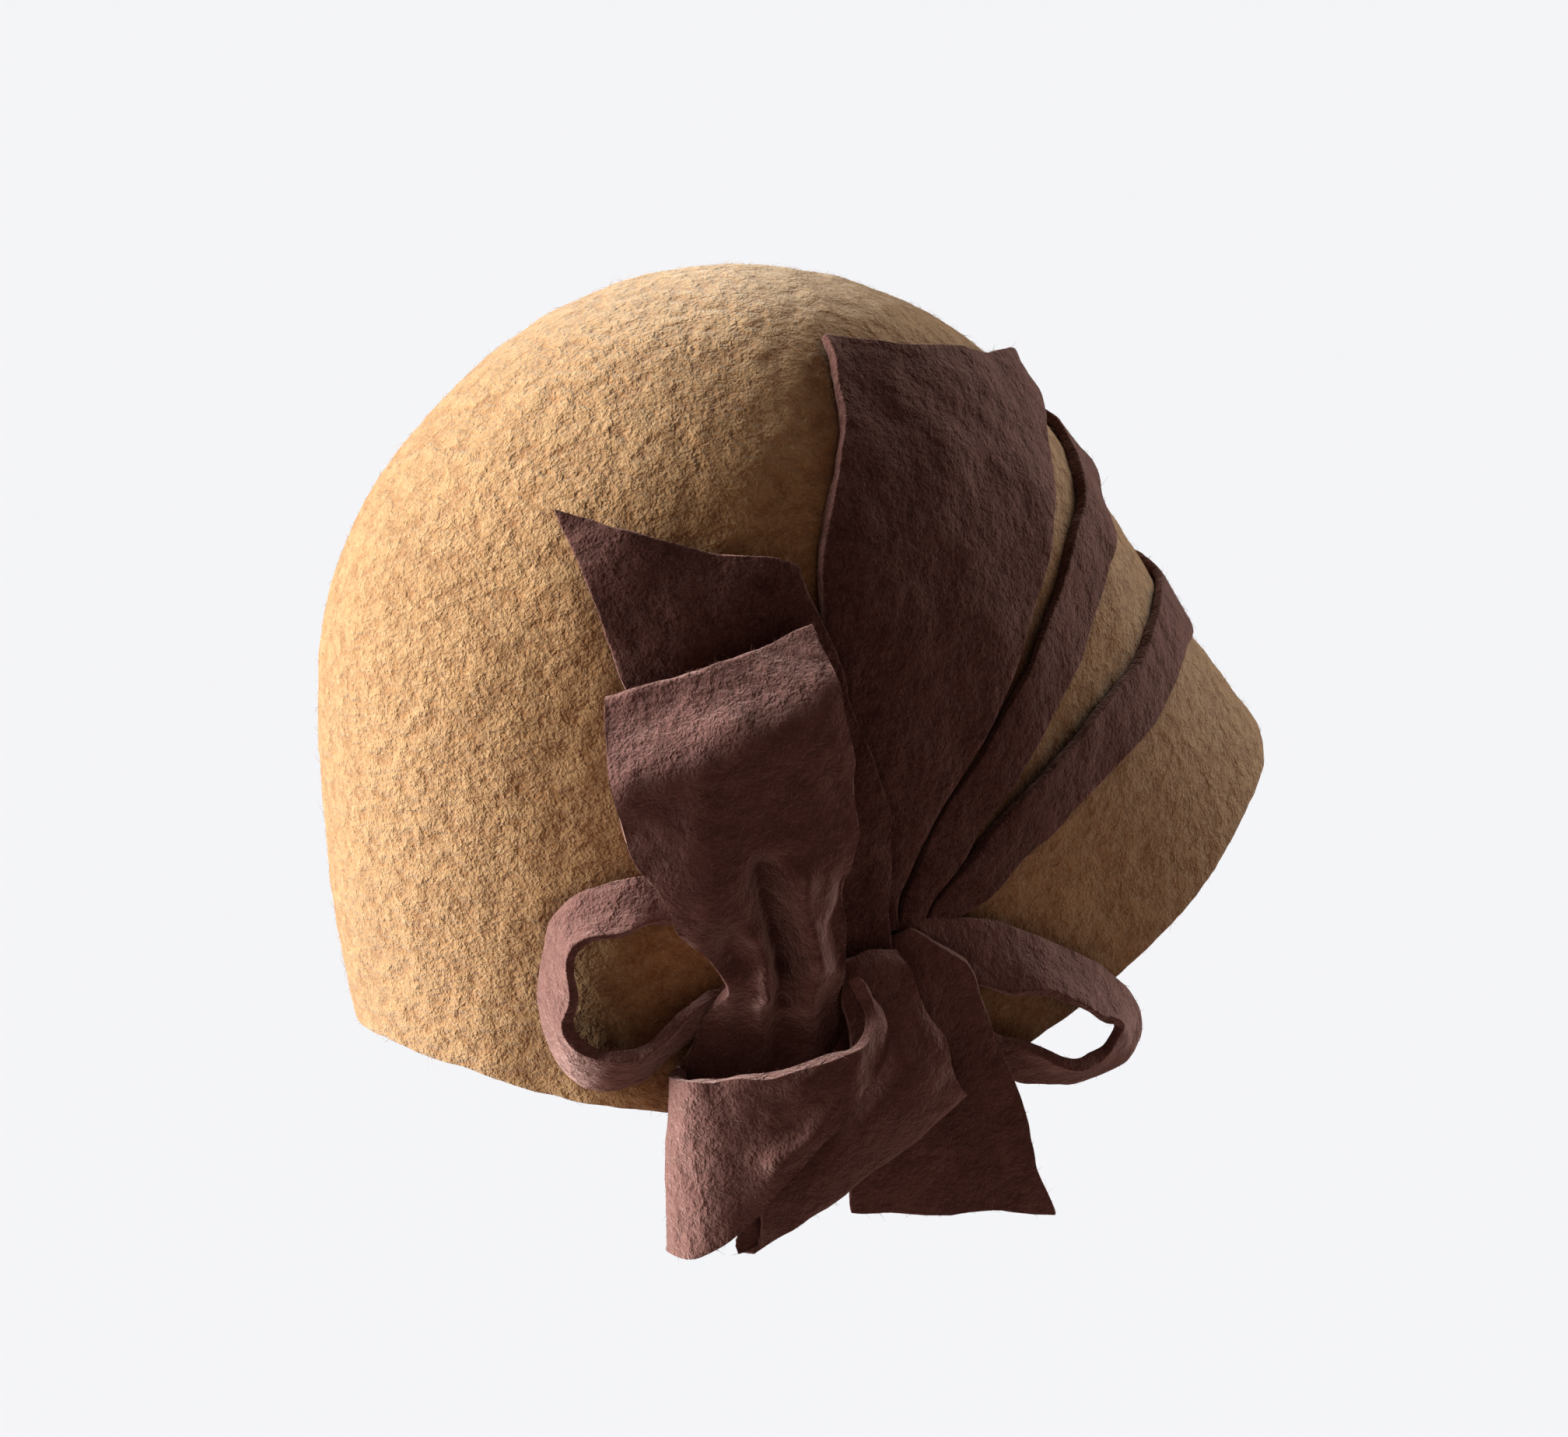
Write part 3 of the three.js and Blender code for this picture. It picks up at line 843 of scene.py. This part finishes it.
def nap(name, pieces, count, length, edge_share, material, outside=None, brushed=None):
    """Loose fibres over finished pieces, edge_share times as close at the cut edges. With outside, a point
    in a hollow, only the skin that faces away from it has them. brushed is a path on the wide ribbon, the
    width of the strip along it, and how many more fibres the strip has."""
    chance = random.Random(name)
    corners = []
    weights = []
    for piece in pieces:
        mesh = seen_mesh(piece)
        mesh.calc_loop_triangles()
        for triangle in mesh.loop_triangles:
            points = [mesh.vertices[index].co.copy() for index in triangle.vertices]
            normal = triangle.normal.copy()
            if outside is not None and normal.dot(points[0] - outside) < 0:
                continue
            share = edge_share if triangle.material_index == 1 else 1
            if brushed is not None and piece.name.startswith("double_loop"):
                path, width, more = brushed
                share += more * math.exp(-((distance_to_path(points[0], path) / width) ** 2))
            corners.append((points, normal))
            weights.append(triangle.area * share)
    fibre = one_fibre()
    shape = [vert.co.copy() for vert in fibre.vertices]
    thickness = settings().hat_felt.fibre_thickness
    work = bmesh.new()
    for points, normal in chance.choices(corners, weights, k=count):
        first, second = sorted((chance.random(), chance.random()))
        root = points[0] * first + points[1] * (second - first) + points[2] * (1 - second)
        reach = length * chance.uniform(0.35, 1)
        ends = fibre_points(chance, shape, root - normal * ROOT_DEPTH, normal, reach, thickness)
        fibre.vertices.foreach_set("co", ends)
        work.from_mesh(fibre)
    mesh = bpy.data.meshes.new(name)
    work.to_mesh(mesh)
    work.free()
    mesh.materials.append(material)
    fibres = bpy.data.objects.new(name, mesh)
    bpy.context.scene.collection.objects.link(fibres)
    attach(fibres, "root")


class HAT_OT_crown(bpy.types.Operator):
    """Builds the crown: one seamless shell of camel felt"""

    bl_idname = "hat.crown"
    bl_label = "Crown"

    def execute(self, context):
        felt = settings().hat_felt
        crown = felt_copy(["crown_body"], "crown_felt", felt.cut_edge_rounding, 1)
        soften(crown, 3)
        dress(crown, ["crown_body"], "crown_felt", camel_felt(), camel_felt())
        slow = cloud("slow_waves", felt.ribbon_wave_size, True)
        wave(crown, "slow_waves", slow, 0.4 * felt.ribbon_wave_depth, True)
        wave(crown, "dents", cloud("crown_dents", felt.crown_dent_size), felt.crown_dent_depth)
        return {"FINISHED"}


class HAT_OT_sash(bpy.types.Operator):
    """Builds the broad sash that lies up the front of the crown"""

    bl_idname = "hat.sash"
    bl_label = "Sash"

    def execute(self, context):
        ribbon(["sash"], 3, painted_lit=False)
        return {"FINISHED"}


class HAT_OT_bands(bpy.types.Operator):
    """Builds the two narrow bands round the front"""

    bl_idname = "hat.bands"
    bl_label = "Bands"

    def execute(self, context):
        ribbon(["upper_band"], painted_lit=False)
        ribbon(["lower_band"], painted_lit=False)
        return {"FINISHED"}


class HAT_OT_tails(bpy.types.Operator):
    """Builds the upper tail and the tail that hangs below the rim"""

    bl_idname = "hat.tails"
    bl_label = "Tails"

    def execute(self, context):
        ribbon(["upper_tail"], painted_lit=False)
        ribbon(["lower_tail"])
        return {"FINISHED"}


class HAT_OT_loops(bpy.types.Operator):
    """Builds the wide loops: the upper and corner loops, one ribbon drawn in between, and the side loop"""

    bl_idname = "hat.loops"
    bl_label = "Wide loops"

    def execute(self, context):
        ribbon(
            ["upper_loop", "corner_loop"],
            name="double_loop",
            joint=LOOP_JOINT,
            gathers=BOW_FOLDS,
        )
        ribbon(["side_loop"], gathers=SIDE_FOLDS)
        return {"FINISHED"}


class HAT_OT_thin_loops(bpy.types.Operator):
    """Builds the two thin loops that stand on edge"""

    bl_idname = "hat.thin_loops"
    bl_label = "Thin loops"

    def execute(self, context):
        ribbon(["front_thin_loop"])
        ribbon(["back_thin_loop"])
        return {"FINISHED"}


class HAT_OT_nap(bpy.types.Operator):
    """Raises the loose fibres of the crown and of the bow"""

    bl_idname = "hat.nap"
    bl_label = "Nap"

    def execute(self, context):
        felt = settings().hat_felt
        colours = settings().hat_colours
        shown = [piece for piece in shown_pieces() if piece.name.endswith("_felt")]
        crown = [piece for piece in shown if piece.name == "crown_felt"]
        bow = sorted((piece for piece in shown if piece not in crown), key=lambda piece: piece.name)
        camel = fibre_material("camel_fibres", colours.camel, colours.camel_light)
        plum = fibre_material("plum_fibres", colours.plum, colours.plum_light)
        nap(
            "crown_nap",
            crown,
            felt.crown_fibres,
            felt.crown_nap_length,
            CROWN_EDGE_FIBRES,
            camel,
            outside=HOLLOW_MIDDLE,
        )
        nap(
            "bow_nap",
            bow,
            felt.bow_fibres,
            felt.bow_nap_length,
            BOW_EDGE_FIBRES,
            plum,
            brushed=(LOOP_ROLL, ROLL_WIDTH, ROLL_FIBRES),
        )
        return {"FINISHED"}


class HAT_OT_stage(bpy.types.Operator):
    """Builds the pale floor, the soft daylight and the camera"""

    bl_idname = "hat.stage"
    bl_label = "Stage"

    def execute(self, context):
        stage = settings().hat_stage
        work = bmesh.new()
        bmesh.ops.create_grid(work, x_segments=2, y_segments=2, size=30)
        bmesh.ops.translate(work, verts=work.verts, vec=(0, 0, -stage.floor_drop))
        mesh = bpy.data.meshes.new("floor")
        work.to_mesh(mesh)
        work.free()
        floor = bpy.data.objects.new("floor", mesh)
        context.scene.collection.objects.link(floor)
        pale = bpy.data.materials.new("pale_floor")
        pale.use_nodes = True
        shader = pale.node_tree.nodes["Principled BSDF"]
        shader.inputs["Base Color"].default_value = (*settings().hat_colours.floor, 1)
        shader.inputs["Roughness"].default_value = 1.0
        shader.inputs["Specular IOR Level"].default_value = 0.0
        floor.data.materials.append(pale)
        floor.visible_diffuse = False
        floor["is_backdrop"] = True
        self.room(stage)

        turn = stage.camera_turn
        rise = stage.camera_rise
        right = Vector((-math.sin(turn), -math.cos(turn), 0))
        level = Vector((math.cos(turn), -math.sin(turn), 0))
        ahead = level * math.cos(rise) - Vector((0, 0, math.sin(rise)))
        middle = HAT_MIDDLE + FRAME_SHIFT * right
        camera = bpy.data.objects.new("camera", bpy.data.cameras.new("camera"))
        camera.data.sensor_width = SENSOR_WIDTH
        camera.data.lens = SENSOR_WIDTH * stage.camera_distance / stage.frame_width
        camera.data.clip_end = 100
        camera.location = middle - stage.camera_distance * ahead
        camera.rotation_euler = ahead.to_track_quat("-Z", "Y").to_euler()
        context.scene.collection.objects.link(camera)
        context.scene.camera = camera
        context.scene.view_settings.view_transform = "Standard"

        up = Vector((0, 0, 1))
        to_window = -right + 0.06 * level + 0.3 * up
        to_skylight = 0.8 * right + level + 0.7 * up
        self.daylight("window", to_window, stage.window_strength, stage.window_softness)
        self.daylight("skylight", to_skylight, stage.skylight_strength, math.radians(40))
        return {"FINISHED"}

    def daylight(self, name, towards, strength, softness):
        light = bpy.data.lights.new(name, "SUN")
        light.energy = strength
        light.angle = softness
        light.color = DAYLIGHT
        window = bpy.data.objects.new(name, light)
        window.rotation_euler = (-towards).to_track_quat("-Z", "Y").to_euler()
        bpy.context.scene.collection.objects.link(window)

    def room(self, stage):
        """The room's light: dim above, with the pale floor's light from below, and a pale backdrop"""
        world = bpy.data.worlds.new("room")
        world.use_nodes = True
        tree = world.node_tree
        background = tree.nodes["Background"]
        direction = tree.nodes.new("ShaderNodeTexCoord").outputs["Generated"]
        split = tree.nodes.new("ShaderNodeSeparateXYZ")
        link(tree, direction, split.inputs[0])
        fade = tree.nodes.new("ShaderNodeMapRange")
        fade.inputs["From Min"].default_value = -0.4
        fade.inputs["From Max"].default_value = 0.4
        fade.inputs["To Min"].default_value = stage.floor_light
        fade.inputs["To Max"].default_value = stage.room_light
        link(tree, split.outputs["Z"], fade.inputs["Value"])
        background.inputs["Color"].default_value = ROOM_GLOW
        link(tree, fade.outputs["Result"], background.inputs["Strength"])
        beyond = tree.nodes.new("ShaderNodeBackground")
        beyond.inputs["Color"].default_value = BACKDROP
        either = tree.nodes.new("ShaderNodeMixShader")
        link(tree, tree.nodes.new("ShaderNodeLightPath").outputs["Is Camera Ray"], either.inputs["Fac"])
        link(tree, background.outputs["Background"], either.inputs[1])
        link(tree, beyond.outputs["Background"], either.inputs[2])
        link(tree, either.outputs["Shader"], tree.nodes["World Output"].inputs["Surface"])
        bpy.context.scene.world = world


class HAT_PT_panel(bpy.types.Panel):
    """Sizes, colours and pieces of the hat"""

    bl_idname = "HAT_PT_panel"
    bl_label = "Cloche Hat"
    bl_space_type = "VIEW_3D"
    bl_region_type = "UI"
    bl_category = "Cloche Hat"

    def draw(self, context):
        for title, name in (("Felt", "hat_felt"), ("Colours", "hat_colours"), ("Stage", "hat_stage")):
            box = self.layout.box()
            box.label(text=title)
            group = getattr(context.scene, name)
            for field in group.bl_rna.properties.keys():
                if field not in ("rna_type", "name"):
                    box.prop(group, field)
        for operator in OPERATORS:
            self.layout.operator(operator.bl_idname)


GROUPS = {"hat_felt": HatFelt, "hat_colours": HatColours, "hat_stage": HatStage}
OPERATORS = (
    HAT_OT_crown,
    HAT_OT_sash,
    HAT_OT_bands,
    HAT_OT_tails,
    HAT_OT_loops,
    HAT_OT_thin_loops,
    HAT_OT_nap,
    HAT_OT_stage,
)


def register():
    for name, group in GROUPS.items():
        bpy.utils.register_class(group)
        setattr(bpy.types.Scene, name, bpy.props.PointerProperty(type=group))
    for operator in OPERATORS:
        bpy.utils.register_class(operator)
    bpy.utils.register_class(HAT_PT_panel)


def unregister():
    bpy.utils.unregister_class(HAT_PT_panel)
    for operator in reversed(OPERATORS):
        bpy.utils.unregister_class(operator)
    for name, group in GROUPS.items():
        delattr(bpy.types.Scene, name)
        bpy.utils.unregister_class(group)


def main():
    register()
    bpy.ops.hat.crown()
    bpy.ops.hat.sash()
    bpy.ops.hat.bands()
    bpy.ops.hat.tails()
    bpy.ops.hat.loops()
    bpy.ops.hat.thin_loops()
    bpy.ops.hat.nap()
    bpy.ops.hat.stage()


if __name__ == "__main__":
    main()
